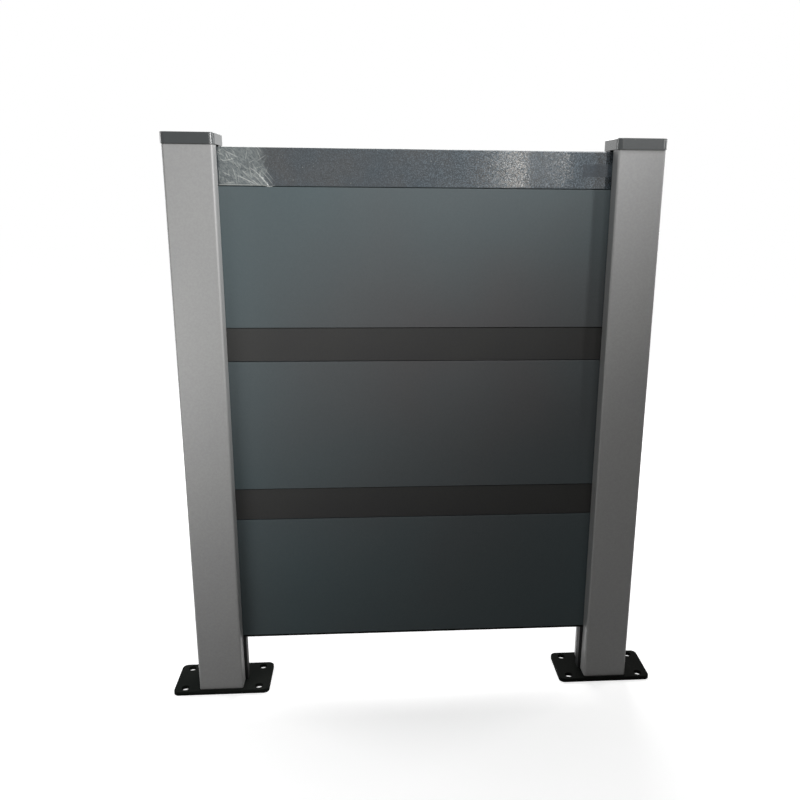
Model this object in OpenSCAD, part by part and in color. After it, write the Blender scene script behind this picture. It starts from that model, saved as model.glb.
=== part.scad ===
// Aluminum privacy fence, one bay: two slotted posts with caps and base plates, and between
// them a closed panel of stacked hollow extrusions (top rail, wide boards, narrow strips).
// Millimetres, +Z up, X along the fence, the front faces -Y.
// Origin: centre of the left base plate's underside.

/* [Bay] */
// Clear width between the two posts
clear_width = 554; // [300:1:2000]
// Height of the gap between the base plates and the panel's lower edge
ground_gap = 76; // [20:1:200]
// Play between the panel's top edge and the post caps
top_play = 2.5; // [1:0.1:5]

/* [Post extrusion] */
// Outer width and depth of the square post
post_size = 68; // [56:1:120]
// Wall thickness of the post
post_wall = 2; // [1.5:0.1:3]
// Outer corner radius of the post
post_corner_r = 3.5; // [3:0.1:8]
// Depth of the slot, from the post's inner face to the slot's floor
slot_depth = 18; // [14:0.5:24]
// Distance of a screw port's axis from the two nearest faces of the post
port_inset = 8.5; // [7.5:0.1:11]
// Bore of the screw ports
port_bore_d = 4.8; // [3:0.1:6]
// Wall thickness of the screw ports
port_wall = 2; // [1.5:0.1:2.5]
// Width of the opening along each screw port
port_gap = 1.6; // [1:0.1:2.5]

/* [Panel extrusions] */
// Height of a wide board
board_h = 198.5; // [100:0.5:300]
// Height of a narrow strip
strip_h = 49; // [30:0.5:100]
// Height of the top rail
rail_h = 51.5; // [30:0.5:100]
// Thickness of the boards and the top rail
board_t = 16; // [15:0.5:22]
// How far each face of a strip lies behind the boards' faces
strip_recess = 1; // [0:0.1:1.5]
// Wall thickness of the panel extrusions
board_wall = 1.2; // [1:0.1:1.6]
// Radius of the panel extrusions' long edges
panel_edge_r = 0.8; // [0.5:0.1:2]
// Open joint between the faces of two extrusions, one above the other
seam = 0.8; // [0.2:0.1:2]
// Greatest height of one hollow chamber
chamber_h = 48; // [20:1:100]
// Thickness of the tongue on top of a board or strip
tongue_t = 6; // [4:0.5:7]
// Height of the tongue
tongue_h = 8; // [4:0.5:12]
// Thickness of the foot of the strip that closes the lowest groove
closing_t = 2.5; // [1.5:0.1:5]

/* [Slot trim] */
// Thickness of the rubber seals beside the panel
seal_t = 1.7; // [1:0.1:3]
// How deep the seals reach into the slot
seal_depth = 11; // [9:0.5:13]
// How far the seals stay behind the post's inner face
seal_setback = 0.6; // [0:0.1:2]
// Distance of the groove that holds a seal from the post's inner face
seal_groove_x = 4.5; // [4:0.1:6]
// Width of that groove
seal_groove_w = 2.4; // [1.5:0.1:3]
// Depth of that groove
seal_groove_d = 1.2; // [0.8:0.1:1.5]
// Wall thickness of the spacers that carry the panel
spacer_wall = 1.5; // [1:0.1:3]
// How far the spacers stand out of the slots
spacer_proud = 4.4; // [0:0.1:8]

/* [Base plates] */
// How far a base plate stands out past the post along the fence
plate_wing = 41; // [30:1:80]
// How far a base plate stands out past the post at the front and rear
plate_ledge = 5; // [3:1:60]
// Thickness of a base plate
plate_t = 6; // [4:0.5:12]
// Corner radius of a base plate
plate_corner_r = 9; // [3:0.5:12]
// Chamfer round a base plate's upper edge
plate_chamfer = 0.8; // [0.3:0.1:2]
// Diameter of the anchor holes
anchor_hole_d = 12.5; // [6:0.5:13]
// Distance of an anchor hole's axis from the plate's nearest end
anchor_inset_x = 17; // [12:0.5:20]
// Distance of an anchor hole's axis from the plate's front or rear edge
anchor_inset_y = 12; // [11:0.5:16]
// Shank hole of the countersunk screws that hold the post
post_screw_d = 5.5; // [4:0.1:6]
// Head diameter of those screws
post_screw_head_d = 11; // [8:0.1:12]

/* [Post caps] */
// Height of a cap above its post
cap_h = 15; // [8:0.5:40]
// How far a cap stands out past the post on each side
cap_overhang = 2; // [1:0.1:2.5]
// Wall thickness of a cap
cap_wall = 3; // [2.8:0.1:5]
// Radius of a cap's upright corners
cap_corner_r = 8; // [5.5:0.1:10]
// Radius of a cap's upper edge
cap_edge_r = 1.2; // [0.5:0.1:2]
// Depth of a cap's lugs in the post
lug_h = 18; // [8:1:40]
// Length of a lug along the post's wall
lug_w = 24; // [10:1:26]
// Thickness of a lug
lug_t = 2.4; // [1.5:0.1:4]
// Height of the stiffening ribs under a cap's roof
cap_rib_h = 5; // [2:0.5:8]

/* [Clearances] */
// Play between a seal and the panel
seal_play = 0.3; // [0.1:0.05:1]
// Play between the panel's ends and the slots' floors
panel_end_play = 4; // [1:0.5:6]
// Play beside a tongue in its groove and round a seal's rib
tongue_play = 0.3; // [0.1:0.05:0.5]
// Play between a cap's lugs and the post's walls
lug_play = 0.3; // [0.1:0.05:1]

/* [Hidden] */
$fn = 48;
EPS = 0.01;
CUT = 1;

slot_width = board_t + 2 * (seal_t + seal_play);
panel_insert = slot_depth - panel_end_play;
panel_length = clear_width + 2 * panel_insert;
post_pitch = clear_width + post_size;
strip_t = board_t - 2 * strip_recess;
groove_depth = tongue_h - seam;

// Heights of the stack, from the ground up. Each extrusion's groove bears on the tongue below.
closing_z = plate_t + ground_gap;
board_bottom_z = closing_z + closing_t + seam;
strip_lower_z = board_bottom_z + board_h + seam;
board_middle_z = strip_lower_z + strip_h + seam;
strip_upper_z = board_middle_z + board_h + seam;
board_top_z = strip_upper_z + strip_h + seam;
rail_z = board_top_z + board_h + seam;
post_top_z = rail_z + rail_h + top_play;
post_h = post_top_z - plate_t;

// Places its children at a post. They are drawn with X = 0 on the post's inner face,
// +X away from the panel and Y = 0 on the fence's centre line.
module at_left() translate([post_size / 2, 0, 0]) mirror([1, 0, 0]) children();
module at_right() translate([post_pitch - post_size / 2, 0, 0]) children();

// Moves from a post's inner face to its axis.
module on_post_axis() translate([post_size / 2, 0, 0]) children();

// A rectangle centred on the origin, with round corners.
module rounded_rect(size, r) {
    square([size.x - 2 * r, size.y], center = true);
    square([size.x, size.y - 2 * r], center = true);
    for (sx = [-1, 1], sy = [-1, 1])
        translate([sx * (size.x / 2 - r), sy * (size.y / 2 - r)]) circle(r);
}

// A rectangle given by its limits.
module span_rect(x0, x1, y0, y1) translate([x0, y0]) square([x1 - x0, y1 - y0]);

// ---- posts ----------------------------------------------------------------------------

// Places its children at the four screw ports, turned so that +X and +Y point to the corner.
module at_ports() for (outer = [false, true], side = [-1, 1])
    translate([outer ? post_size - port_inset : port_inset, side * (post_size / 2 - port_inset)])
        mirror([outer ? 0 : 1, 0, 0]) mirror([0, side < 0 ? 1 : 0, 0]) children();

// The square tube without its slot and ports.
module tube_section() on_post_axis() difference() {
    rounded_rect([post_size, post_size], post_corner_r);
    rounded_rect([post_size - 2 * post_wall, post_size - 2 * post_wall], post_corner_r - post_wall);
}

// The channel behind the slot, thicker where a groove holds each seal.
module channel_section() {
    half = slot_width / 2 + post_wall;
    span_rect(post_wall / 2, slot_depth + post_wall, -half, half);
    span_rect(seal_groove_x - post_wall, seal_groove_x + seal_groove_w + post_wall,
        -half - seal_groove_d, half + seal_groove_d);
}

// A screw port: a ring on a neck that ties it into the post's corner.
module port_section() {
    circle(d = port_bore_d + 2 * port_wall);
    rotate(45) span_rect(0, (port_inset - post_wall / 2) * sqrt(2) - post_corner_r / 4, -port_wall, port_wall);
}

// The post's whole extruded section.
module post_section() difference() {
    union() {
        tube_section();
        channel_section();
        at_ports() port_section();
    }
    span_rect(-CUT, slot_depth, -slot_width / 2, slot_width / 2);
    span_rect(seal_groove_x, seal_groove_x + seal_groove_w,
        -slot_width / 2 - seal_groove_d, slot_width / 2 + seal_groove_d);
    at_ports() {
        circle(d = port_bore_d);
        rotate(225) span_rect(0, port_bore_d / 2 + port_wall + CUT, -port_gap / 2, port_gap / 2);
    }
}

module post_body() translate([0, 0, plate_t]) linear_extrude(post_h) post_section();

module left_post() color("silver") at_left() post_body();
module right_post() color("silver") at_right() post_body();

// ---- post caps ------------------------------------------------------------------------

cap_size = post_size + 2 * cap_overhang;

module cap_outside() hull() {
    linear_extrude(cap_h - cap_edge_r) rounded_rect([cap_size, cap_size], cap_corner_r);
    for (turn = [22.5 : 22.5 : 90])
        linear_extrude(cap_h - cap_edge_r * (1 - sin(turn)))
            rounded_rect([cap_size, cap_size] - 2 * cap_edge_r * (1 - cos(turn)) * [1, 1],
                cap_corner_r - cap_edge_r * (1 - cos(turn)));
}

// A lug with a chamfered tip, which slides down inside the post's wall in +X.
module cap_lug() {
    face = post_size / 2 - post_wall - lug_play;
    rotate([90, 0, 0]) linear_extrude(lug_w, center = true) polygon([
        [face - lug_t, cap_h - cap_wall / 2], [face - lug_t, -lug_h],
        [face - lug_t / 2, -lug_h], [face, -lug_h + lug_t], [face, cap_h - cap_wall / 2]
    ]);
}

module cap_body() on_post_axis() translate([0, 0, post_top_z]) {
    inside = cap_size - 2 * cap_wall;
    difference() {
        cap_outside();
        translate([0, 0, -CUT]) linear_extrude(cap_h - cap_wall + CUT)
            rounded_rect([inside, inside], cap_corner_r - cap_wall);
    }
    for (turn = [0, 90, 180]) rotate(turn - 90) cap_lug();
    translate([0, 0, cap_h - cap_wall - cap_rib_h]) linear_extrude(cap_rib_h + cap_wall / 2) {
        square([inside + cap_wall, cap_wall / 2], center = true);
        square([cap_wall / 2, inside + cap_wall], center = true);
    }
}

module left_post_cap() color("dimgray") at_left() cap_body();
module right_post_cap() color("dimgray") at_right() cap_body();

// ---- base plates ----------------------------------------------------------------------

plate_size = [post_size + 2 * plate_wing, post_size + 2 * plate_ledge];

module plate_blank() hull() {
    linear_extrude(plate_t - plate_chamfer) rounded_rect(plate_size, plate_corner_r);
    linear_extrude(plate_t)
        rounded_rect(plate_size - 2 * plate_chamfer * [1, 1], plate_corner_r - plate_chamfer);
}

module plate_body() {
    sink_h = (post_screw_head_d - post_screw_d) / 2;
    difference() {
        on_post_axis() plate_blank();
        on_post_axis() for (sx = [-1, 1], sy = [-1, 1])
            translate([sx * (plate_size.x / 2 - anchor_inset_x), sy * (plate_size.y / 2 - anchor_inset_y), -CUT])
                cylinder(d = anchor_hole_d, h = plate_t + 2 * CUT);
        at_ports() {
            translate([0, 0, -CUT]) cylinder(d = post_screw_d, h = plate_t + 2 * CUT);
            translate([0, 0, -EPS]) cylinder(d1 = post_screw_head_d + 2 * EPS, d2 = post_screw_d, h = sink_h + EPS);
        }
    }
}

module left_base_plate() color("black") at_left() plate_body();
module right_base_plate() color("black") at_right() plate_body();

// ---- slot trim ------------------------------------------------------------------------

// Hollow spacer that stands in the slot on the base plate and carries the panel's end.
module spacer_body() {
    width = spacer_proud + slot_depth - panel_end_play / 2;
    translate([width / 2 - spacer_proud, 0, plate_t]) linear_extrude(ground_gap) difference() {
        square([width, board_t], center = true);
        square([width - 2 * spacer_wall, board_t - 2 * spacer_wall], center = true);
    }
}

module left_slot_spacer() color("black") at_left() spacer_body();
module right_slot_spacer() color("black") at_right() spacer_body();

// Rubber seal on the slot's rear side: a strip with a round nose and a rib in the post's groove.
module seal_section() {
    wall = slot_width / 2;
    nose_x = seal_setback + seal_t / 2;
    translate([nose_x, wall - seal_t / 2]) circle(d = seal_t);
    span_rect(nose_x, seal_depth, wall - seal_t, wall);
    span_rect(seal_groove_x + tongue_play, seal_groove_x + seal_groove_w - tongue_play,
        wall - seal_t / 2, wall + seal_groove_d - tongue_play);
}

module rear_seal_body() translate([0, 0, plate_t]) linear_extrude(post_h) seal_section();
module front_seal_body() mirror([0, 1, 0]) rear_seal_body();

module left_front_seal() color("black") at_left() front_seal_body();
module left_rear_seal() color("black") at_left() rear_seal_body();
module right_front_seal() color("black") at_right() front_seal_body();
module right_rear_seal() color("black") at_right() rear_seal_body();

// ---- panel ----------------------------------------------------------------------------

// Sections of the panel's extrusions, drawn with X across the fence and Y up from the lower edge.
groove_w = tongue_t + 2 * tongue_play;

// The row of chambers between the groove below and the top wall.
module chambers(h, t) {
    first = groove_depth + board_wall;
    space = h - first - board_wall;
    count = ceil(space / chamber_h);
    clear_h = (space - (count - 1) * board_wall) / count;
    for (i = [0 : count - 1]) translate([-t / 2 + board_wall, first + i * (clear_h + board_wall)])
        square([t - 2 * board_wall, clear_h]);
}

// The two hollows beside the groove.
module flank_chambers(t) for (side = [0, 1]) mirror([side, 0])
    span_rect(groove_w / 2 + board_wall, t / 2 - board_wall, board_wall, groove_depth);

// A hollow extrusion with a groove along its lower edge.
module grooved_section(h, t) difference() {
    translate([0, h / 2]) rounded_rect([t, h], panel_edge_r);
    span_rect(-groove_w / 2, groove_w / 2, -CUT, groove_depth);
    flank_chambers(t);
    chambers(h, t);
}

// A hollow tongue that stands on an extrusion's top wall.
module tongue_section(h) translate([0, h]) difference() {
    span_rect(-tongue_t / 2, tongue_t / 2, -board_wall / 2, tongue_h);
    span_rect(-tongue_t / 2 + board_wall, tongue_t / 2 - board_wall, 0, tongue_h - board_wall);
}

// Lays a section along the fence, from slot to slot.
module along_panel(z) translate([post_size / 2 - panel_insert, 0, z])
    rotate([90, 0, 90]) linear_extrude(panel_length) children();

module board(z) along_panel(z) {
    grooved_section(board_h, board_t);
    tongue_section(board_h);
}

module strip(z) along_panel(z) {
    grooved_section(strip_h, strip_t);
    tongue_section(strip_h);
}

module board_top() color("slategray") board(board_top_z);
module board_middle() color("slategray") board(board_middle_z);
module board_bottom() color("slategray") board(board_bottom_z);
module strip_upper() color("dimgray") strip(strip_upper_z);
module strip_lower() color("dimgray") strip(strip_lower_z);
module top_rail() color("dimgray") along_panel(rail_z) grooved_section(rail_h, board_t);

// Closes the lowest groove: a flat foot with a plug as tall as a tongue.
module bottom_closing_strip() color("black") along_panel(closing_z) {
    span_rect(-strip_t / 2, strip_t / 2, 0, closing_t);
    span_rect(-tongue_t / 2, tongue_t / 2, 0, closing_t + tongue_h);
}

// ---- drawing --------------------------------------------------------------------------

left_post();
right_post();
left_post_cap();
right_post_cap();
left_base_plate();
right_base_plate();
left_slot_spacer();
right_slot_spacer();
left_front_seal();
left_rear_seal();
right_front_seal();
right_rear_seal();
top_rail();
board_top();
board_middle();
board_bottom();
strip_upper();
strip_lower();
bottom_closing_strip();
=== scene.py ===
"""Looks for one bay of an aluminium privacy fence.

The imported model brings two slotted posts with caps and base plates, and between them a closed
panel of hollow extrusions. This script dresses every node, adds the protective film on the top
rail, the tape on it and the countersunk screws under the plates, and sets up a plain studio.

Metres unless a comment says otherwise, +Z up, X along the fence, the front faces -Y.
"""

import logging
import math
from dataclasses import dataclass, replace
from enum import Enum
from functools import cache
from typing import ClassVar

import bpy
import numpy as np
from mathutils import Matrix, Vector


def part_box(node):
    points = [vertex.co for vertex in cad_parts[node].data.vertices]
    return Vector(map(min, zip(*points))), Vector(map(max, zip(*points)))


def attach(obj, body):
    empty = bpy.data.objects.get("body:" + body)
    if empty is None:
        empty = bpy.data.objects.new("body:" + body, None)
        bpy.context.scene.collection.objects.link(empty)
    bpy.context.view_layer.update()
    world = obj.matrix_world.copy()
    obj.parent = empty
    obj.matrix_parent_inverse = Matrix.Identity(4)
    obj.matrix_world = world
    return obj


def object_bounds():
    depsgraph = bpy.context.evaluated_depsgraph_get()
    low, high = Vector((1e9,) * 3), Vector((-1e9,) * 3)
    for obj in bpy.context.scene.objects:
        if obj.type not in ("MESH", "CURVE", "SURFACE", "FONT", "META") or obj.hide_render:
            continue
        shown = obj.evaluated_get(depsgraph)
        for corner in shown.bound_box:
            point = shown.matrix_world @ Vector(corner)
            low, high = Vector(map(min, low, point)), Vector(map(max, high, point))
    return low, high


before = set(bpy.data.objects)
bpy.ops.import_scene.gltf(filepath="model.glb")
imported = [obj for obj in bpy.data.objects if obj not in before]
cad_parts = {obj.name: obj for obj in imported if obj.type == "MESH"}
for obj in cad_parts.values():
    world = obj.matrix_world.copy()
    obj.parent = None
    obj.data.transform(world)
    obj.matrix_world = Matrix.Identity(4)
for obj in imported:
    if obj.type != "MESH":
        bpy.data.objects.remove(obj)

CAD_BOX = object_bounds()
LOG = logging.getLogger("fence")

Triple = tuple[float, float, float]
Span = tuple[float, float]
Socket = bpy.types.NodeSocket
MM = 0.001
BODY = "root"
WHITE: Triple = (1.0, 1.0, 1.0)


class Slot(Enum):
    """Names of two of the record's material slots, which nothing in this script reads."""

    BASE_PLATE = "base_plate"
    RAIL = "rail"


class Side(Enum):
    """The two posts, each with the start of its nodes' names."""

    LEFT = "left"
    RIGHT = "right"


# ---- colours and node graphs ----


def paint(red: int, green: int, blue: int) -> Triple:
    """Turns a colour as it is seen, 0 to 255, into the linear values that a shader takes.

    Each value v is divided by 255, then becomes v / 12.92 below 0.04045, and
    ((v + 0.055) / 1.055) ** 2.4 above it.

    Args:
        red: Seen red.
        green: Seen green.
        blue: Seen blue.

    Returns:
        Linear red, green and blue.
    """
    seen = np.array([red, green, blue]) / 255
    linear = np.where(seen <= 0.04045, seen / 12.92, ((seen + 0.055) / 1.055) ** 2.4)
    return tuple(linear.tolist())


def around(middle: float, below: float, above: float) -> Span:
    """The span from a middle value less one amount to the middle value plus another."""
    return (middle - below, middle + above)


class Nodes:
    """A node tree, with short ways to add to it."""

    def __init__(self, tree: bpy.types.NodeTree) -> None:
        """Takes up a tree."""
        self.tree = tree

    def node(
        self, kind: str, inputs: dict[str | int, object] | None = None, **settings: object
    ) -> bpy.types.Node:
        """Adds a node.

        Args:
            kind: Blender's name of the node's type, without the ShaderNode that it starts with.
            inputs: What goes into each of its sockets: a value, or another node's output.
            **settings: The node's own properties.

        Returns:
            The new node.
        """
        made = self.tree.nodes.new(f"ShaderNode{kind}")
        for key, value in settings.items():
            setattr(made, key, value)
        for key, value in (inputs or {}).items():
            self.feed(made.inputs[key], value)
        return made

    def feed(self, socket: Socket, value: object) -> None:
        """Links an output to a socket, or sets the socket's own value.

        Args:
            socket: Where it goes.
            value: An output, a number, or a colour.
        """
        if isinstance(value, bpy.types.NodeSocket):
            self.tree.links.new(value, socket)
        else:
            socket.default_value = (*value, 1.0) if socket.type == "RGBA" else value

    def math(self, operation: str, first: object, second: object = 0.0) -> Socket:
        """One arithmetic step on two values."""
        return self.node("Math", {0: first, 1: second}, operation=operation).outputs[0]


class Graph(Nodes):
    """A material's node graph around one Principled shader, read in Object coordinates."""

    def __init__(self, name: str) -> None:
        """Starts an empty graph.

        Args:
            name: The material's name.
        """
        self.material = bpy.data.materials.new(name)
        self.material.use_nodes = True
        super().__init__(self.material.node_tree)
        self.shader = self.tree.nodes["Principled BSDF"]
        self.place = self.node("TexCoord").outputs["Object"]

    def dress(self, **inputs: object) -> None:
        """Sets the shader's own sockets, named with _ for each space.

        Args:
            **inputs: Socket name and what goes in.
        """
        for key, value in inputs.items():
            self.feed(self.shader.inputs[key.replace("_", " ")], value)

    def vector(self, operation: str, *inputs: object) -> bpy.types.Node:
        """One step on vectors, whose result is at the node's Vector or Value output."""
        return self.node("VectorMath", dict(enumerate(inputs)), operation=operation)

    def stretched(self, factors: Triple, place: Socket | None = None) -> Socket:
        """Coordinates times a factor each, plain Object coordinates if place is left out."""
        return self.vector("MULTIPLY", place or self.place, factors).outputs["Vector"]

    def distance(self, point: Triple) -> Socket:
        """Distance from a point."""
        return self.vector("DISTANCE", self.place, point).outputs["Value"]

    def axis(self, name: str) -> Socket:
        """The object's own X, Y or Z."""
        return self.node("SeparateXYZ", {0: self.place}).outputs[name]

    def noise(
        self, size: float, detail: float = 2.0, place: Socket | None = None, twist: float = 0.0
    ) -> Socket:
        """Soft random patches from 0 to 1.

        Args:
            size: Size of a patch.
            detail: How many finer layers lie on it.
            place: Coordinates, plain Object coordinates if left out.
            twist: How far the pattern is distorted.

        Returns:
            The patches' value.
        """
        pattern = {"Vector": place or self.place, "Scale": 1 / size, "Detail": detail}
        return self.node("TexNoise", pattern | {"Distortion": twist}).outputs["Fac"]

    def remap(self, value: Socket, span: Span, to: Span = (0.0, 1.0)) -> Socket:
        """Brings one span of values to another, and holds what lies outside at its ends.

        Args:
            value: The value.
            span: Two of its values, the lower one first.
            to: What those two become.

        Returns:
            The new value.
        """
        ends = {0: value, 1: span[0], 2: span[1], 3: to[0], 4: to[1]}
        return self.node("MapRange", ends, clamp=True).outputs["Result"]

    def blend(self, share: Socket, first: object, second: object) -> Socket:
        """Mixes two colours.

        Args:
            share: 0 for the first colour, 1 for the second.
            first: First colour.
            second: Second colour.

        Returns:
            The mixed colour.
        """
        mixed = {0: share, 6: first, 7: second}
        return self.node("Mix", mixed, data_type="RGBA", clamp_factor=True).outputs[2]

    def shaded(self, colour: Socket, value: Socket) -> Socket:
        """A colour with its brightness multiplied by a value."""
        return self.node("HueSaturation", {"Color": colour, "Value": value}).outputs[0]

    def leaned(self, direction: Socket, amount: float) -> Socket:
        """The surface's normal plus amount times (direction - 0.5), made one unit long.

        Args:
            direction: Three values from 0 to 1.
            amount: How far the normal leans.

        Returns:
            The normal.
        """
        centred = self.vector("SUBTRACT", direction, (0.5,) * 3).outputs[0]
        normal = self.node("NewGeometry").outputs["Normal"]
        leant = self.vector("MULTIPLY_ADD", centred, (amount,) * 3, normal).outputs[0]
        return self.vector("NORMALIZE", leant).outputs[0]

    def bump(self, height: Socket, depth: float, normal: Socket | None = None) -> Socket:
        """A normal that follows a height.

        Args:
            height: From 0 to 1.
            depth: Metres from 0 to 1.
            normal: Another bump that this one lies on.

        Returns:
            The normal.
        """
        made = self.node("Bump", {"Height": height, "Distance": depth, "Strength": 1.0})
        if normal is not None:
            self.feed(made.inputs["Normal"], normal)
        return made.outputs["Normal"]


# ---- finishes ----

# Where most of a noise's values lie, and where its patches turn from one tone to the other.
MOST: Span = (0.3, 0.7)
PATCHY: Span = (0.35, 0.65)

# Sizes of the finishes' patterns.
GRAIN = 0.55 * MM
PEEL = 2.2 * MM
DUST_SPECK = 0.9 * MM
DUST_VEIL = 90 * MM
MOTTLE = 3 * MM
DIE_LINE = 0.5 * MM
RUBBING = 18 * MM
FILM_DRIFT = 70 * MM
FILM_PIP = 1.1 * MM
FILM_SPECK = 1.3 * MM
MILKY_STREAK = 1.3 * MM
MILKY_PATCH = 5 * MM
PAINTED_GLINT = 1.7 * MM
DULL_SPOT = 1.5 * MM
TURNED_RING = 0.3 * MM

# Painted light: a pool's even middle, and how much of the drift's colour it paints there as light
# or sheen.
PAINTED_LIGHT_CORE = 0.10
PAINTED_LIGHT_SHARE = 0.75

# The film's specks are at their fewest up to one X, and at their most from the other.
SPECKS_FROM_TO: Span = (0.26, 0.44)

# Painted shade: the colour and reach of a dark line painted along a post's joints with its cap and
# plate, where the cap's overhang and the plate shade the post.
JOINT_SHADE = paint(20, 20, 19)
JOINT_SHADE_REACH = 1.8 * MM


@dataclass(frozen=True)
class Finish:
    """A finish that can make its material.

    Attributes:
        name: The material's name.
        tone: Linear colour.
        drift: Linear colour of its slow, rubbed or dull patches, and of a painted light pool where
            there is one.
    """

    name: str
    tone: Triple
    drift: Triple

    def fill(self, graph: Graph) -> None:
        """Fills the material's graph, which each kind of finish does in its own way."""
        raise NotImplementedError

    @cache
    def material(self) -> bpy.types.Material:
        """Builds the node material, the first time that it is asked for.

        Returns:
            The material.
        """
        graph = Graph(self.name)
        self.fill(graph)
        return graph.material


@dataclass(frozen=True)
class PowderCoat(Finish):
    """Baked powder paint: a tone that drifts a little, orange peel, grain and a few dust specks.

    Attributes:
        roughness: Middle roughness.
        gloss: Specular level, 0.5 for plain paint.
        peel: Depth of the orange peel.
        grain: Depth of the fine grain.
        dust: Share of the dust's colour in its patches.
        drawn: Depth of the faint lines along X that the die leaves.
        drift_size: Size of the slow patches.
        painted_light_pool: Centre of a painted pool of light or sheen in the drift's colour, if
            there is one.
        painted_light_reach: Distance from there at which the painted light ends.
        mottle: How far small patches are darker or lighter, as a share.
        dust_tone: Linear colour of the dust.
        joints: Heights of the joints along which a painted shade line darkens the coat.
    """

    roughness: float
    gloss: float
    peel: float
    grain: float
    dust: float = 0.05
    drawn: float = 0.0
    drift_size: float = 0.16
    painted_light_pool: Triple | None = None
    painted_light_reach: float = 0.40
    mottle: float = 0.02
    dust_tone: Triple = paint(176, 172, 164)
    joints: tuple[float, ...] = ()

    def with_joint_shade(self, graph: Graph, colour: Socket) -> Socket:
        """Adds a painted shade line, nearly solid on a joint and fading to none a short reach away.

        Args:
            graph: The material's graph.
            colour: The colour before the painted shade.

        Returns:
            The colour with the painted shade.
        """
        height = graph.axis("Z")
        for joint in self.joints:
            away = graph.math("ABSOLUTE", graph.math("SUBTRACT", height, joint))
            share = graph.remap(away, (0.4 * JOINT_SHADE_REACH, JOINT_SHADE_REACH), (0.85, 0.0))
            colour = graph.blend(share, colour, JOINT_SHADE)
        return colour

    def fill(self, graph: Graph) -> None:
        """Fills the material's graph.

        Args:
            graph: The graph.
        """
        slow = graph.remap(graph.noise(self.drift_size, 1.5, twist=0.4), PATCHY)
        # Painted light: the drift's colour is blended in round a given centre as a wide pool of
        # light or sheen.
        if self.painted_light_pool is not None:
            reach = (PAINTED_LIGHT_CORE, self.painted_light_reach)
            painted_light = graph.remap(graph.distance(self.painted_light_pool), reach, (PAINTED_LIGHT_SHARE, 0.0))
            slow = graph.math("ADD", graph.math("MULTIPLY", slow, 1 - PAINTED_LIGHT_SHARE), painted_light)
        colour = graph.blend(slow, self.tone, self.drift)
        specks = graph.remap(graph.noise(DUST_SPECK, 0.0), (0.72, 0.80))
        veil = graph.remap(graph.noise(DUST_VEIL, 4.0), (0.45, 0.75), (0.25, 1.0))
        dust = graph.math("MULTIPLY", graph.math("MULTIPLY", specks, veil), self.dust * 4)
        haze = graph.math("MULTIPLY", veil, self.dust * 0.5)
        colour = graph.blend(graph.math("MAXIMUM", dust, haze), colour, self.dust_tone)
        grain = graph.noise(GRAIN, 3.0)
        mottled = graph.remap(graph.noise(MOTTLE, 1.0), MOST, around(1, self.mottle, self.mottle))
        shade = graph.math("MULTIPLY", graph.remap(grain, MOST, (0.94, 1.06)), mottled)
        colour = self.with_joint_shade(graph, graph.shaded(colour, shade))
        normal = graph.bump(graph.noise(PEEL, 1.0), self.peel)
        normal = graph.bump(grain, self.grain, normal)
        if self.drawn > 0:
            lines = graph.noise(DIE_LINE, 2.0, graph.stretched((0.004, 1.0, 1.0)))
            normal = graph.bump(lines, self.drawn, normal)
        graph.dress(
            Base_Color=colour,
            Roughness=graph.remap(grain, MOST, around(self.roughness, 0.05, 0.07)),
            Specular_IOR_Level=self.gloss,
            Normal=normal,
        )


@dataclass(frozen=True)
class Moulded(Finish):
    """Moulded plastic or rubber: an even dark tone, a fine leathery skin and faint rubbed patches.

    Attributes:
        roughness: Middle roughness.
        gloss: Specular level.
        skin: Size of the skin's grain.
        depth: Depth of that grain.
    """

    roughness: float
    gloss: float
    skin: float
    depth: float

    def fill(self, graph: Graph) -> None:
        """Fills the material's graph.

        Args:
            graph: The graph.
        """
        skin = graph.noise(self.skin, 3.0)
        rubbed = graph.remap(graph.noise(RUBBING, 5.0), (0.5, 0.75))
        graph.dress(
            Base_Color=graph.blend(rubbed, self.tone, self.drift),
            Roughness=graph.remap(skin, MOST, around(self.roughness, 0.06, 0.08)),
            Specular_IOR_Level=self.gloss,
            Normal=graph.bump(skin, self.depth),
        )


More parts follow.
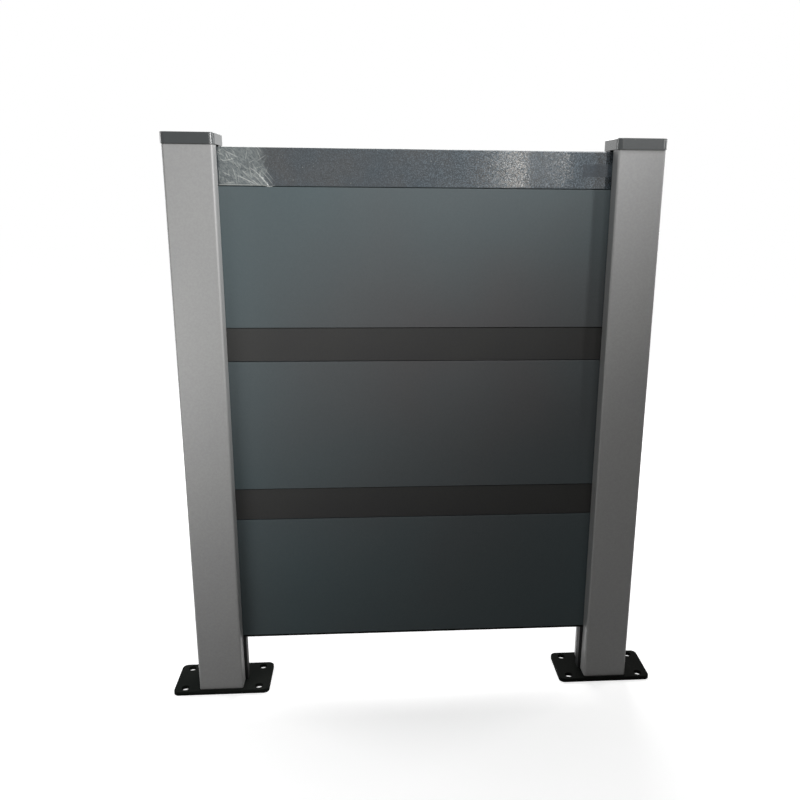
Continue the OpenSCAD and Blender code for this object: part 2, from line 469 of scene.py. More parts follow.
@dataclass(frozen=True)
class ClingFilm(Finish):
    """Clear protective film on the painted rail, read from the film's own attributes.

    The film's lift is 0 where it lies tight and 1 where it has come away, and its second attribute,
    a painted highlight mask, is 1 on a sharp fold and along the crinkled end's hem. Lifted film
    looks milky and streaky. A painted highlight lies along each fold, and pale painted specks of
    light are strewn over the film. Each embossed cell leans its own way, so that it catches light.
    The tone is the rail's, seen through tight film.

    Attributes:
        speck: Linear colour of the fine specks in tight film.
        milky: Linear colour of lifted film.
        clear: Linear colour between the milky streaks.
        fold: Linear colour of the painted highlights on folds and the hem, and of the pale painted
            specks of light.
        roughness: Roughness of the film.
        gloss: Specular level.
        emboss: How far a cell leans.
        pitch: Size of a cell.
    """

    speck: Triple
    milky: Triple
    clear: Triple
    fold: Triple
    roughness: float
    gloss: float
    emboss: float
    pitch: float

    def fill(self, graph: Graph) -> None:
        """Fills the material's graph.

        Args:
            graph: The graph.
        """
        lift, painted_highlight = (
            graph.node("Attribute", attribute_name=name).outputs["Fac"]
            for name in ("lift", "painted_highlight")
        )
        pattern = {"Vector": graph.place, "Scale": 1 / self.pitch}
        cells = graph.node("TexVoronoi", pattern).outputs["Color"]
        cell = graph.node("SeparateColor", {0: cells}).outputs[0]
        tight = graph.blend(graph.remap(graph.noise(FILM_DRIFT), PATCHY), self.tone, self.drift)
        tight = graph.shaded(tight, graph.remap(graph.noise(FILM_PIP, 1.0), (0.0, 1.0), (0.3, 1.7)))
        specks = graph.remap(graph.noise(FILM_SPECK, 1.0, twist=0.5), (0.50, 0.62))
        denser = graph.remap(graph.axis("X"), SPECKS_FROM_TO, (0.28, 0.95))
        tight = graph.blend(graph.math("MULTIPLY", specks, denser), tight, self.speck)
        leaning = graph.node("Mapping", {"Vector": graph.place, "Rotation": (0, -0.8, 0)})
        drawn_out = graph.stretched((0.22, 1.0, 1.0), leaning.outputs[0])
        streaks = graph.math("MULTIPLY", graph.noise(MILKY_STREAK, 3.0, drawn_out, 0.8), 0.6)
        patches = graph.math("MULTIPLY", graph.noise(MILKY_PATCH, 3.0, twist=1.2), 0.4)
        milk = graph.remap(graph.math("ADD", streaks, patches), (0.37, 0.63))
        colour = graph.blend(lift, tight, graph.blend(milk, self.clear, self.milky))
        # Painted highlights: pale specks of light, and the pale lines along folds and the hem,
        # blended in with the fold colour.
        painted_glints = graph.remap(graph.noise(PAINTED_GLINT, 0.0), (0.83, 0.86), (0.0, 0.6))
        for pale in (painted_highlight, painted_glints):
            colour = graph.blend(pale, colour, self.fold)
        graph.dress(
            Base_Color=colour,
            Roughness=graph.remap(cell, (0.0, 1.0), around(self.roughness, 0.04, 0.06)),
            Specular_IOR_Level=self.gloss,
            Normal=graph.leaned(cells, self.emboss),
        )


@dataclass(frozen=True)
class PlatedSteel(Finish):
    """Zinc-plated screw steel: bright, slightly yellowish, with turned rings and dull spots.

    Attributes:
        roughness: Middle roughness.
    """

    roughness: float

    def fill(self, graph: Graph) -> None:
        """Fills the material's graph.

        Args:
            graph: The graph.
        """
        spots = graph.remap(graph.noise(DULL_SPOT, 4.0), (0.45, 0.7))
        fine = graph.noise(TURNED_RING, 3.0)
        graph.dress(
            Base_Color=graph.blend(spots, self.tone, self.drift),
            Metallic=1.0,
            Roughness=graph.remap(fine, MOST, around(self.roughness, 0.08, 0.1)),
            Normal=graph.bump(fine, 0.01 * MM),
        )


SILVER_COAT = PowderCoat(
    "silver powder coat", paint(150, 150, 150), paint(153, 153, 152),
    0.40, 0.5, 0.012 * MM, 0.010 * MM, 0.03, mottle=0.04,
)
# The slate's pool is a painted sheen: a neutral, lighter patch in the panel's middle where a lamp's
# reflection falls.
SLATE_COAT = PowderCoat(
    "slate powder coat", paint(86, 98, 101), paint(90, 90, 91),
    0.42, 0.05, 0.010 * MM, 0.010 * MM, 0.02, drift_size=0.22, painted_light_pool=(0.39, 0.0, 0.50),
)
CHARCOAL_COAT = PowderCoat(
    "charcoal powder coat", paint(66, 66, 66), paint(68, 68, 67),
    0.60, 0.05, 0.008 * MM, 0.014 * MM, 0.02, drawn=0.004 * MM, dust_tone=paint(150, 150, 150),
)
RAIL_COAT = PowderCoat(
    "rail powder coat", paint(66, 76, 80), paint(70, 77, 79),
    0.40, 0.35, 0.010 * MM, 0.010 * MM, 0.02,
)
# The black coat's pool is painted light: the left base plate lighter than the right.
BLACK_COAT = PowderCoat(
    "black powder coat", paint(10, 11, 10), paint(26, 30, 28),
    0.60, 0.015, 0.02 * MM, 0.02 * MM, 0.04, painted_light_pool=(-0.02, -0.03, 0.0), painted_light_reach=0.60,
)
CAP_PLASTIC = Moulded(
    "cap plastic", paint(50, 54, 55), paint(55, 59, 60), 0.20, 0.6, 0.5 * MM, 0.012 * MM
)
SPACER_PLASTIC = Moulded(
    "spacer plastic", paint(20, 21, 21), paint(30, 31, 31), 0.6, 0.2, 0.6 * MM, 0.02 * MM
)
SEAL_RUBBER = Moulded(
    "seal rubber", paint(18, 18, 18), paint(26, 26, 26), 0.7, 0.15, 0.4 * MM, 0.02 * MM
)
# Each film's last colour is that of its painted highlights.
RAIL_FILM = ClingFilm(
    "protective film", paint(43, 54, 61), paint(55, 57, 58), paint(98, 110, 119),
    paint(139, 145, 143), paint(77, 84, 86), paint(212, 214, 208), 0.075, 0.7, 0.037, 1.0 * MM,
)
TAPE_FILM = ClingFilm(
    "tape", paint(41, 51, 59), paint(46, 54, 60), paint(60, 70, 78), paint(84, 94, 100),
    paint(80, 86, 88), paint(66, 74, 80), 0.12, 0.6, 0.02, 1.6 * MM,
)
SCREW_STEEL = PlatedSteel("zinc-plated steel", paint(188, 186, 176), paint(140, 138, 128), 0.36)


# ---- the scene's objects ----


def placed(name: str, data: bpy.types.ID) -> bpy.types.Object:
    """Puts a new object into the scene, at the origin.

    Args:
        name: Its name.
        data: Its mesh, lamp or camera.

    Returns:
        The object.
    """
    made = bpy.data.objects.new(name, data)
    bpy.context.scene.collection.objects.link(made)
    return made


def dress_node(name: str, finish: Finish) -> None:
    """Gives a construction node its finish.

    Args:
        name: The node's name.
        finish: Its finish.
    """
    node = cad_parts[name]
    if not node.material_slots:
        node.data.materials.append(None)
    for slot in node.material_slots:
        slot.material = finish.material()
    LOG.info("dressed %s in %s", name, finish.name)


def add_piece(
    name: str, points: np.ndarray, faces: list[list[int]], finish: Finish,
    attributes: dict[str, np.ndarray] | None = None, smooth: bool = False,
) -> None:
    """Puts a new piece into the scene, riding on the fence's one body.

    Args:
        name: The piece's name.
        points: Vertices, one row each.
        faces: Vertex numbers of each face, anticlockwise from outside.
        finish: The piece's finish.
        attributes: Value of each named attribute at each vertex.
        smooth: Whether the faces are shaded as one smooth surface.
    """
    mesh = bpy.data.meshes.new(name)
    mesh.from_pydata(points.tolist(), [], faces)
    mesh.polygons.foreach_set("use_smooth", np.full(len(faces), smooth))
    for key, values in (attributes or {}).items():
        layer = mesh.attributes.new(key, "FLOAT", "POINT")
        layer.data.foreach_set("value", values.astype(np.float32))
    mesh.materials.append(finish.material())
    piece = placed(name, mesh)
    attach(piece, BODY)
    LOG.info("built %s with %d faces", name, len(mesh.polygons))


# ---- shapes ----


def ramp(value: np.ndarray, reach: float) -> np.ndarray:
    """0 up to 0, an even rise, and 1 from reach on."""
    return np.clip(value / reach, 0, 1)


def hump(value: np.ndarray, reach: float | np.ndarray) -> np.ndarray:
    """1 at 0, fading to both sides: exp(-(value / reach) ** 2)."""
    return np.exp(-((value / reach) ** 2))


def fade(value: np.ndarray, reach: float) -> np.ndarray:
    """1 far below 0, one half at 0, and 0 far above: 1 / (1 + exp(value / reach))."""
    return 1 / (1 + np.exp(value / reach))


def grid_faces(rows: int, columns: int, wrap: bool = False) -> np.ndarray:
    """Quads of a grid whose vertices are numbered row by row.

    Args:
        rows: Number of rows of vertices.
        columns: Number of vertices in a row.
        wrap: Whether the last column joins the first.

    Returns:
        Four vertex numbers per quad, going down the rows first.
    """
    number = np.arange(rows * columns).reshape(rows, columns)
    beside = np.roll(number, -1, axis=1) if wrap else number[:, 1:]
    own = number if wrap else number[:, :-1]
    return np.stack([own[:-1], own[1:], beside[1:], beside[:-1]], axis=-1).reshape(-1, 4)


def closed_sheet(outer: np.ndarray, inner: np.ndarray) -> tuple[np.ndarray, list[list[int]]]:
    """Closes two grids of the same size into one thin solid.

    The inner grid's quads are the outer grid's turned round, and each of the four rims is a strip
    of quads between the two grids' edges.

    Args:
        outer: Points of the outer face, rows by columns by three.
        inner: Points of the inner face, in the same order.

    Returns:
        Vertices and quads.
    """
    rows, columns = outer.shape[:2]
    count = rows * columns
    points = np.concatenate([outer.reshape(-1, 3), inner.reshape(-1, 3)])
    front = grid_faces(rows, columns)
    number = np.arange(count).reshape(rows, columns)
    rim = np.concatenate([number[:-1, 0], number[-1, :-1], number[:0:-1, -1], number[0, :0:-1]])
    after = np.roll(rim, -1)
    sides = np.stack([after, rim, rim + count, after + count], axis=-1)
    return points, np.concatenate([front, front[:, ::-1] + count, sides]).tolist()


@dataclass(frozen=True)
class Folds:
    """Folds in a film, each a ridge along a short line that bends a little.

    Attributes:
        table: Seven rows: the folds' middles along and up the film, half lengths, half widths,
            heights, angles from the rail's length in radians, and bends.
    """

    table: np.ndarray

    @classmethod
    def laid(cls, rows: tuple[tuple[float, ...], ...]) -> "Folds":
        """Folds that run straight from one given point to another.

        Args:
            rows: Start and end along and up, half width and height of each, in millimetres.

        Returns:
            The folds.
        """
        start_x, start_v, end_x, end_v, width, height = np.array(rows).T * MM
        run, climb = end_x - start_x, end_v - start_v
        return cls(np.stack([
            (start_x + end_x) / 2, (start_v + end_v) / 2, np.hypot(run, climb) / 2, width, height,
            np.arctan2(climb, run), np.zeros(len(rows)),
        ]))

    @classmethod
    def drawn(
        cls, seed: int, count: int, corner: Span, reach: Span, length: Span, width: Span,
        height: Span, lean: Span,
    ) -> "Folds":
        """Folds drawn at random over a rectangle, with every length in millimetres.

        Args:
            seed: Seed of the draws.
            count: How many there are.
            corner: Lowest place along and up of a middle.
            reach: Highest place along and up.
            length: Shortest and longest half length.
            width: Narrowest and widest half width.
            height: Lowest and highest ridge.
            lean: Middle of the angles and their spread, in radians.

        Returns:
            The folds.
        """
        draw = np.random.default_rng(seed)
        middles = draw.uniform(corner, reach, (count, 2)).T * MM
        sizes = [draw.uniform(*span, count) * MM for span in (length, width, height)]
        angles = draw.normal(*lean, count)
        return cls(np.stack([*middles, *sizes, angles, draw.uniform(-6, 6, count)]))

    def relief(self, x: np.ndarray, v: np.ndarray) -> tuple[np.ndarray, np.ndarray]:
        """Height and sharpness of the folds on a grid.

        A fold is height * exp(-(across / width) ** 2) * exp(-(along / length) ** 4), where along
        and across are the distances from the fold's middle along its line and away from it.
        The heights add up, and the sharpness is the largest of the narrow cores,
        exp(-(across / (0.5 * width)) ** 2) along the same length.

        Args:
            x: Distance along the rail.
            v: Distance up the film's section.

        Returns:
            Heights, and sharpness from 0 to 1.
        """
        middle_x, middle_v, length, width, height, lean, bend = self.table[:, :, None, None]
        dx = x - middle_x
        dv = v - middle_v
        along = dx * np.cos(lean) + dv * np.sin(lean)
        across = -dx * np.sin(lean) + dv * np.cos(lean) + bend * along**2
        reach = np.exp(-((along / length) ** 4))
        ridge = height * hump(across, width) * reach
        core = hump(across, 0.5 * width) * reach
        return ridge.sum(axis=0), core.max(axis=0)


# ---- the top rail's film ----


MAIN_FOLDS = Folds.laid((
    (54.0, 16.2, 71.5, -1.8, 0.75, 0.62),
    (43.0, 25.2, 56.0, 14.6, 0.60, 0.35),
    (26.5, 13.4, 53.5, 1.0, 0.70, 0.48),
    (4.0, 35.4, 9.0, 32.2, 0.60, 0.40),
    (8.0, 32.4, 24.0, 35.6, 0.65, 0.42),
    (11.0, 45.8, 30.0, 36.4, 0.65, 0.40),
    (60.6, 19.1, 75.0, 1.9, 0.55, 0.34),
    (64.0, 22.4, 77.0, 5.9, 0.50, 0.26),
    (50.8, 12.3, 62.5, -0.9, 0.60, 0.36),
    (43.8, 9.6, 57.0, -1.0, 0.60, 0.34),
    (9.0, 2.4, 22.0, 4.2, 0.70, 0.34),
    (14.0, 44.0, 23.0, 31.0, 0.55, 0.28),
    (33.0, 20.0, 44.0, 9.0, 0.55, 0.28),
    (5.0, 18.0, 19.0, 12.0, 0.70, 0.30),
    (26.3, 25.9, 27.5, 24.9, 0.80, 0.55),
))
FINE_FOLDS = Folds.drawn(
    7, 90, (0, -1), (70, 110), (2.5, 8.0), (0.3, 0.6), (0.06, 0.20), (-0.75, 0.65)
)
SOFT_WAVES = Folds.drawn(
    11, 60, (-4, -4), (70, 112), (3.0, 11.0), (0.9, 2.6), (0.05, 0.22), (-0.6, 0.8)
)


@dataclass(frozen=True)
class RailFilm:
    """The clear film that still covers the top rail, crinkled at its left end.

    Attributes:
        corner: Radius of the rail's long edges.
        hem: How far the film's edges stay above the rail's lower edge.
        tongue: How far the crinkled end's loose tip hangs below its hem.
        tongue_at: Distance of that tip from the left post.
        gap: Gap between the film and each post.
        air: Gap between the film and the rail.
        thickness: Thickness of the film.
        loose: Length of the crinkled end at the rail's upper edge.
        flare: How much longer it is at the lower edge.
        flare_height: Height over which that fades.
        margin: How far the fine mesh goes on past the crinkled end.
        fine_step: Length of a mesh step in the crinkled end.
        coarse_step: Length of a mesh step in the tight part.
        section_points: Points along the film's section.
        highest: Height at which the folds are cut off.
        blister: Middle height of the slow waves in the tight part.
        wave: Height of a soft wave that counts as full.
        torn: How far the milky look ends short of the crinkled end where there is no wave.
        torn_out: How much farther it reaches on a full wave.
    """

    corner: float = 0.8 * MM
    hem: float = 0.7 * MM
    tongue: float = 2.2 * MM
    tongue_at: float = 70 * MM
    gap: float = 0.4 * MM
    air: float = 0.03 * MM
    thickness: float = 0.12 * MM
    loose: float = 65 * MM
    flare: float = 10 * MM
    flare_height: float = 12 * MM
    margin: float = 8 * MM
    fine_step: float = 0.42 * MM
    coarse_step: float = 10.0 * MM
    section_points: int = 200
    highest: float = 1.1 * MM
    blister: float = 0.04 * MM
    wave: float = 0.35 * MM
    torn: float = 6 * MM
    torn_out: float = 9 * MM

    def section(self, low: Vector, high: Vector) -> tuple[np.ndarray, np.ndarray, np.ndarray]:
        """The rail's outline that the film follows, from the front hem over the top to the back.

        It is a straight rise, a quarter circle, the flat top, a quarter circle and a straight
        fall, cut at even steps of its length.

        Args:
            low: Lowest corner of the rail.
            high: Highest corner of the rail.

        Returns:
            Points (Y, Z), outward normals (Y, Z), and the distance along the outline.
        """
        rise = high.z - low.z - self.hem - self.corner
        flat = high.y - low.y - 2 * self.corner
        quarter = self.corner * math.pi / 2
        total = 2 * (rise + quarter) + flat
        run = np.linspace(0, total, self.section_points)
        quarters = ramp(run - rise, quarter) + ramp(run - rise - quarter - flat, quarter)
        turn = quarters * math.pi / 2
        normal = np.stack([-np.cos(turn), np.sin(turn)], axis=-1)
        upright = np.clip(run, 0, rise) - np.clip(run - (total - rise), 0, rise)
        across = np.clip(run - rise - quarter, 0, flat)
        centre_y = low.y + self.corner + across
        centre_z = low.z + self.hem + upright
        points = np.stack([centre_y, centre_z], axis=-1) + self.corner * normal
        return points, normal, run

    def build(self) -> None:
        """Builds the film over the rail.

        The film lies off the rail's outline by the heights of its folds and waves, moved along the
        outline's normals. The folds fade out across the crinkled end's edge.
        """
        low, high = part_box("top_rail")
        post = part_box("left_post")[1].x
        start = post + self.gap
        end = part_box("right_post")[0].x - self.gap
        split = post + self.loose + self.flare + self.margin
        fine = np.linspace(start, split, round((split - start) / self.fine_step))
        coarse = np.linspace(split, end, round((end - split) / self.coarse_step))
        points, normal, run = self.section(low, high)
        xs, vs = np.meshgrid(np.concatenate([fine, coarse[1:]]), run, indexing="ij")
        along = xs - post
        main, main_core = MAIN_FOLDS.relief(along, vs)
        ridge, core = FINE_FOLDS.relief(along, vs)
        wave = SOFT_WAVES.relief(along, vs)[0]
        swell = ramp(wave, self.wave)
        flared = self.loose + self.flare * np.exp(-vs / self.flare_height)
        edge = flared + MM * np.sin(vs / (3 * MM))
        inside = fade(along - edge, 1.6 * MM)
        milky_end = edge - self.torn + self.torn_out * swell
        cloud = ramp(along - MM, 3 * MM) * fade(along - milky_end, 2.4 * MM)
        rim = np.maximum(ramp(np.minimum(vs, run[-1] - vs), 2 * MM), 0.3)
        slow = self.blister * (1 + np.sin(xs / (23 * MM) + 2 * np.sin(vs / (31 * MM))))
        folded = np.minimum(main + (ridge + wave) * inside, self.highest)
        rise = (folded + slow) * ramp(along, 4 * MM) * rim
        tip = self.tongue * hump(along - self.tongue_at, 5 * MM) * (1 - ramp(vs, 8 * MM))
        sheets = []
        for distance in (self.air + self.thickness + rise, self.air + rise):
            outline = points + normal * distance[..., None]
            outline[..., 1] -= tip
            sheets.append(np.concatenate([xs[..., None], outline], axis=-1))
        vertices, faces = closed_sheet(*sheets)
        # Painted highlights: pale lines painted along the folds' ridges and along the crinkled
        # end's hem, carried by the second attribute.
        hem_highlight = 0.5 * inside * hump(vs - 0.4 * MM, 0.5 * MM)
        lift = cloud * (0.66 + 0.34 * swell)
        pale = np.maximum(np.maximum(main_core * main / (0.6 * MM), 0.45 * core * inside), hem_highlight)
        add_piece(
            "rail_film", vertices, faces, RAIL_FILM,
            {
                "lift": np.tile(lift.ravel(), 2),
                "painted_highlight": np.tile(np.clip(pale, 0, 1).ravel(), 2),
            },
            smooth=True,
        )


@dataclass(frozen=True)
class RailTape:
    """A short strip of smooth tape over the film's right end.

    Attributes:
        length: Length along the rail.
        height: Height of the strip.
        rise: Height of its lower edge above the rail's lower edge.
        air: Distance of its back from the rail's face.
        thickness: Thickness of the tape.
        gap: Gap between the tape and the right post.
        grid: Mesh points along the tape and up it.
    """

    length: float = 42 * MM
    height: float = 17.4 * MM
    rise: float = 17 * MM
    air: float = 0.26 * MM
    thickness: float = 0.06 * MM
    gap: float = 0.5 * MM
    grid: tuple[int, int] = (35, 19)

    def build(self) -> None:
        """Builds the tape: a rectangle whose outer face dips towards its four edges.

        The thickness at a point is thickness * (0.4 + 0.6 * (1 - s ** 8)), where s is the larger
        of the distances from the middle, as a share of the half length and half height.
        """
        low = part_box("top_rail")[0]
        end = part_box("right_post")[0].x - self.gap
        along, up = np.meshgrid(*(np.linspace(-1, 1, count) for count in self.grid), indexing="ij")
        xs = end + self.length * (along - 1) / 2
        zs = low.z + self.rise + self.height * (up + 1) / 2
        share = np.maximum(np.abs(along), np.abs(up))
        depth = self.thickness * (0.4 + 0.6 * (1 - share**8))
        back = low.y - self.air
        outer, inner = (np.stack([xs, y, zs], axis=-1) for y in (back - depth, back + 0 * xs))
        vertices, faces = closed_sheet(outer, inner)
        nothing = np.zeros(len(vertices))
        flat = {"lift": nothing, "painted_highlight": nothing}
        add_piece("rail_tape", vertices, faces, TAPE_FILM, flat)


# ---- screws ----


@dataclass(frozen=True)
class PostScrews:
    """The countersunk screws that come up through a base plate into the post's screw ports.

    Attributes:
        side: Which post they hold.
        pitch: Distance of a screw's axis from the post's axis along X and Y.
        head: Radius of the head.
        shank: Radius of the plain shank.
        thread: Outer radius of the thread.
        core: Radius between the turns of the thread.
        reach: Height of the screw's tip above the ground.
        sink: Height of the head's flat face above the ground.
        socket: Half the width of the hexagonal socket.
        socket_depth: Depth of the socket.
        neck: Height above the ground at which the thread begins.
        taper: Length of the pointed tip.
        bevel: Width of the bevel round the head.
        point: Radius of the tip, and of the hole that closes the socket's floor.
        turns: Turns of the thread.
        turn_steps: Mesh steps in a turn.
        around: Mesh steps round the screw.
    """

    side: Side
    pitch: float = 25.5 * MM
    head: float = 5.2 * MM
    shank: float = 2.6 * MM
    thread: float = 2.3 * MM
    core: float = 1.9 * MM
    reach: float = 32 * MM
    sink: float = 0.3 * MM
    socket: float = 2.0 * MM
    socket_depth: float = 1.9 * MM
    neck: float = 7 * MM
    taper: float = 4 * MM
    bevel: float = 0.4 * MM
    point: float = 0.02 * MM
    turns: int = 20
    turn_steps: int = 8
    around: int = 48

    def build(self) -> None:
        """Builds the four screws at one post.

        A screw is a grid of profile point by angle a. Its radius is the profile's, except in the
        socket, where it is socket / cos(a - the nearest multiple of 60 degrees). On the thread
        the radius is the middle of core and thread plus half their difference times the cosine
        of (turns * 360 degrees * share of the thread's height - a), so that the crest is a helix.
        """
        angle = np.linspace(0, 2 * math.pi, self.around, endpoint=False)
        sixth = math.pi / 3
        hexagon = self.socket / np.cos((angle + sixth / 2) % sixth - sixth / 2)
        socket_floor = self.sink + self.socket_depth
        rim = self.sink + self.bevel
        tip = self.reach - self.taper
        share = np.linspace(0, 1, self.turns * self.turn_steps)
        middle = (self.thread + self.core) / 2
        half = (self.thread - self.core) / 2
        helix = middle + half * np.cos(2 * math.pi * self.turns * share[:, None] - angle)
        rings = [
            (self.point, socket_floor), (hexagon, socket_floor), (hexagon, self.sink),
            (self.head - self.bevel, self.sink), (self.head, self.sink + self.bevel / 4),
            (self.head, rim), (self.shank, rim + self.head - self.shank), (self.shank, self.neck),
            *zip(helix, self.neck + (tip - self.neck) * share), (self.point, self.reach),
        ]
        radius = np.array([np.broadcast_to(ring, angle.shape) for ring, _ in rings])
        height = np.array([level for _, level in rings])
        axis = sum(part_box(f"{self.side.value}_post"), Vector()) / 2
        corners = np.array([[1, 1, 0], [1, -1, 0], [-1, 1, 0], [-1, -1, 0]]) * self.pitch
        levels = np.broadcast_to(height[:, None], radius.shape)
        screw = np.stack([radius * np.cos(angle), radius * np.sin(angle), levels], axis=-1)
        points = screw + (corners + [axis.x, axis.y, 0])[:, None, None]
        skin = grid_faces(*radius.shape, wrap=True)[:, ::-1]
        ends = np.stack([np.arange(self.around)[::-1], np.arange(radius.size)[-self.around:]])
        faces: list[list[int]] = []
        for first in range(0, len(corners) * radius.size, radius.size):
            faces += (skin + first).tolist() + (ends + first).tolist()
        name = f"{self.side.value}_post_screws"
        add_piece(name, points.reshape(-1, 3), faces, SCREW_STEEL)


# ---- sub-assemblies ----


@dataclass(frozen=True)
class PostSet:
    """A post with its cap, base plate, slot spacer, seals and screws.

    Attributes:
        side: Which post it is.
    """

    side: Side

    def build(self) -> None:
        """Dresses the post's nodes and builds its screws."""
        foot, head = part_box(f"{self.side.value}_post")
        finishes: dict[str, Finish] = {
            # Painted shade lines at the post's foot and top, where the plate and the cap's overhang
            # shade it.
            "post": replace(SILVER_COAT, joints=(foot.z, head.z)),
            "post_cap": CAP_PLASTIC,
            "base_plate": BLACK_COAT,
            "slot_spacer": SPACER_PLASTIC,
            "front_seal": SEAL_RUBBER,
            "rear_seal": SEAL_RUBBER,
        }
        for part, finish in finishes.items():
            dress_node(f"{self.side.value}_{part}", finish)
        PostScrews(self.side).build()


@dataclass(frozen=True)
class Panel:
    """The closed panel between the posts: boards, strips, top rail and what lies on the rail.

    Attributes:
        film: The film on the top rail.
        tape: The tape on the film.
    """

    film: RailFilm = RailFilm()
    tape: RailTape = RailTape()

    def build(self) -> None:
        """Dresses the panel's nodes and builds the rail's film and tape."""
        for part in ("top", "middle", "bottom"):
            dress_node(f"board_{part}", SLATE_COAT)
        for part in ("upper", "lower"):
            dress_node(f"strip_{part}", CHARCOAL_COAT)
        dress_node("top_rail", RAIL_COAT)
        dress_node("bottom_closing_strip", BLACK_COAT)
        self.film.build()
        self.tape.build()


# ---- studio ----


@dataclass(frozen=True)
class Lamp:
    """A lamp that the camera itself doesn't see.

    Attributes:
        name: The lamp's name.
        place: Where it hangs.
        aim: Where it points.
        power: Its power in watts.
    """

    kind: ClassVar[str]
    name: str
    place: Triple
    aim: Triple
    power: float

    def settings(self) -> dict[str, object]:
        """The light's own settings, for each kind of lamp."""
        raise NotImplementedError

    def put_up(self) -> None:
        """Makes the lamp, hangs it and turns it to its aim."""
        data = bpy.data.lights.new(self.name, self.kind)
        data.energy = self.power
        for key, value in self.settings().items():
            setattr(data, key, value)
        turn = (Vector(self.aim) - Vector(self.place)).to_track_quat("-Z", "Y").to_matrix()
        lamp = placed(self.name, data)
        lamp.matrix_world = Matrix.Translation(self.place) @ turn.to_4x4()
        lamp.visible_camera = False
        LOG.info("hung the %s", self.name)


@dataclass(frozen=True)
class Softbox(Lamp):
    """A rectangular soft lamp.

    Attributes:
        width: Its width.
        height: Its height.
        tint: Linear colour of its light.
    """

    kind = "AREA"
    width: float
    height: float
    tint: Triple = WHITE

    def settings(self) -> dict[str, object]:
        """Its shape, size and colour."""
        return {"shape": "RECTANGLE", "size": self.width, "size_y": self.height, "color": self.tint}


@dataclass(frozen=True)
class Floodlight(Lamp):
    """A large round lamp whose beam fades out smoothly from its middle to the edge of its cone.

    Attributes:
        cone: Whole angle of its beam in degrees.
        radius: Radius of its face.
    """

    kind = "SPOT"
    cone: float
    radius: float = 0.25

    def settings(self) -> dict[str, object]:
        """Its beam, even fade and face."""
        beam = math.radians(self.cone)
        return {"spot_size": beam, "spot_blend": 1.0, "shadow_soft_size": self.radius}


@dataclass(frozen=True)
class Viewpoint:
    """The camera: where it stands, how it is turned, and its lens.

    Attributes:
        place: Where it stands.
        yaw: Turn to the right from looking along +Y, in radians.
        pitch: Tilt down, in radians.
        roll: Turn round the line of sight, in radians.
        lens: Focal length in millimetres, on a sensor 36 mm wide.
        shift: Shift of the picture right and up, as a share of its width.
    """

    place: Triple = (0.2433, -1.1731, 0.7788)
    yaw: float = 0.0747
    pitch: float = 0.2552
    roll: float = 0.0097
    lens: float = 36.0
    shift: Span = (-0.0372, -0.0008)

    def stand(self) -> None:
        """Makes the camera, level and looking along +Y, then turned by roll, pitch and yaw."""
        data = bpy.data.cameras.new("camera")
        data.lens = self.lens
        data.shift_x, data.shift_y = self.shift
        camera = placed("camera", data)
        camera.matrix_world = (
            Matrix.Translation(self.place)
            @ Matrix.Rotation(-self.yaw, 4, "Z")
            @ Matrix.Rotation(math.pi / 2 - self.pitch, 4, "X")
            @ Matrix.Rotation(self.roll, 4, "Z")
        )
        bpy.context.scene.camera = camera


def seen(nodes: Nodes) -> Socket:
    """1 for rays that show the surround: camera, glossy and transmission rays.

    Args:
        nodes: The node tree that it is added to.

    Returns:
        The value.
    """
    rays = nodes.node("LightPath").outputs
    mirrored = nodes.math("MAXIMUM", rays["Is Camera Ray"], rays["Is Glossy Ray"])
    return nodes.math("MAXIMUM", mirrored, rays["Is Transmission Ray"])


WARM = (1.0, 0.94, 0.86)


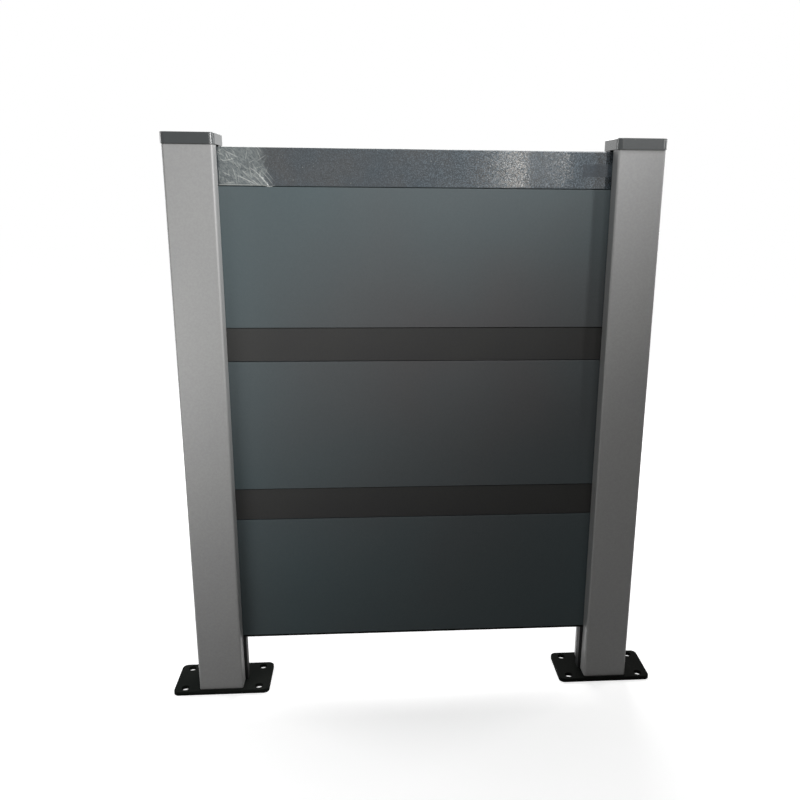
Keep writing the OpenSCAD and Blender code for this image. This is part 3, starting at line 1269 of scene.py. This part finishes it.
@dataclass(frozen=True)
class Studio:
    """A pale floor, a white surround, soft lamps and the camera.

    Attributes:
        sky: Strength of the surround's light on the fence.
        floor_tone: Linear tone of the floor as it looks.
        lamp_share: Share of white that the lamps bring at the fence's middle.
        lamp_reach: Distance over which that share fades.
        bounce_tone: Share of its light that the floor throws back onto the fence.
        floor_size: Width of the floor.
        floor_gap: Gap between the floor and the base plates.
        lamps: The soft lamps.
        camera: The camera.
    """

    sky: float = 0.04
    floor_tone: float = 0.9
    lamp_share: float = 0.40
    lamp_reach: float = 0.9
    bounce_tone: float = 0.10
    floor_size: float = 30.0
    floor_gap: float = 0.05 * MM
    lamps: tuple[Lamp, ...] = (
        Floodlight("key light", (2.20, -1.70, 1.30), (-0.10, 0.0, 0.95), 322.0, 28.0),
        Floodlight("second key light", (1.10, -2.00, 1.40), (0.00, 0.0, 0.85), 40.0, 40.0),
        Floodlight("middle light", (0.30, -2.20, 1.60), (0.30, 0.0, 0.85), 4.5, 30.0),
        Softbox("top softbox", (0.50, -0.20, 1.10), (0.30, 0.0, 0.60), 1.15, 0.30, 0.15),
        Softbox("low softbox", (-0.29, -0.46, 0.42), (0.00, 0.0, 0.38), 1.2, 0.36, 0.36),
        Softbox("right strip", (1.05, -1.20, 0.95), (0.20, 0.0, 0.80), 0.3, 0.05, 0.75),
        Softbox("window strip", (0.735, -1.75, 1.05), (0.30, 0.0, 0.75), 0.95, 0.045, 0.8, WARM),
        Softbox("narrow strip", (0.88, -1.75, 0.95), (0.30, 0.0, 0.75), 0.16, 0.03, 0.3, WARM),
        Softbox("left side softbox", (-1.60, 0.60, 0.75), (0.0, 0.03, 0.45), 11.0, 0.60, 0.90),
        Softbox("right side softbox", (2.22, 0.60, 0.75), (0.62, 0.03, 0.45), 11.0, 0.60, 0.90),
        Softbox("back softbox", (0.40, 1.50, 1.60), (0.31, 0.0, 0.45), 20.0, 1.20, 0.80),
    )
    camera: Viewpoint = Viewpoint()

    def light_surround(self) -> None:
        """A white world to look at, which lights the fence with the sky's strength."""
        world = bpy.data.worlds.new("surround")
        world.use_nodes = True
        bpy.context.scene.world = world
        nodes = Nodes(world.node_tree)
        nodes.tree.nodes.clear()
        lighting, shown = (
            nodes.node("Background", {"Color": WHITE, "Strength": strength}).outputs[0]
            for strength in (self.sky, 1.0)
        )
        mixed = nodes.node("MixShader", {0: seen(nodes), 1: lighting, 2: shown})
        nodes.node("OutputWorld", {"Surface": mixed.outputs[0]})

    def lay_floor(self) -> None:
        """A pale floor that looks as white as the surround away from the fence's shadow.

        For the rays that show the surround its reflected light is floor_tone times the light on
        it, and a glow of 1 - floor_tone * (sky + lamp_share * exp(-(d / lamp_reach) ** 2)) fills
        it up to white, where d is the distance from the fence's middle. It throws bounce_tone
        times its light back onto the fence.
        """
        half = self.floor_size / 2
        corners = [(-half, -half), (half, -half), (half, half), (-half, half)]
        mesh = bpy.data.meshes.new("floor")
        mesh.from_pydata([(*corner, -self.floor_gap) for corner in corners], [], [range(4)])
        graph = Graph("pale floor")
        graph.dress(Base_Color=(self.floor_tone,) * 3, Roughness=1.0, Specular_IOR_Level=0.0)
        middle = (CAD_BOX[0] + CAD_BOX[1]) / 2
        away = graph.distance((middle.x, middle.y, 0.0))
        square = graph.math("MULTIPLY", graph.math("POWER", away, 2.0), -1 / self.lamp_reach**2)
        share = self.floor_tone * self.lamp_share
        near = graph.math("MULTIPLY", graph.math("EXPONENT", square), share)
        strength = graph.math("SUBTRACT", 1 - self.floor_tone * self.sky, near)
        glow = graph.node("Emission", {"Strength": strength})
        both = graph.node("AddShader", {0: graph.shader.outputs[0], 1: glow.outputs[0]})
        bounce = graph.node("BsdfDiffuse", {"Color": (self.bounce_tone,) * 3})
        shaders = {0: seen(graph), 1: bounce.outputs[0], 2: both.outputs[0]}
        mixed = graph.node("MixShader", shaders)
        graph.feed(graph.tree.nodes["Material Output"].inputs["Surface"], mixed.outputs[0])
        mesh.materials.append(graph.material)
        placed("floor", mesh)

    def set_up(self) -> None:
        """Puts the whole studio in place."""
        self.light_surround()
        self.lay_floor()
        for lamp in self.lamps:
            lamp.put_up()
        self.camera.stand()
        bpy.context.scene.view_settings.view_transform = "Standard"


def write_sizes() -> None:
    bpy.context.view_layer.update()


def main() -> None:
    """Builds the fence's looks, sub-assembly by sub-assembly."""
    logging.basicConfig(level=logging.INFO, format="%(name)s: %(message)s")
    Studio().set_up()
    for side in Side:
        PostSet(side).build()
    Panel().build()
    write_sizes()


if __name__ == "__main__":
    main()
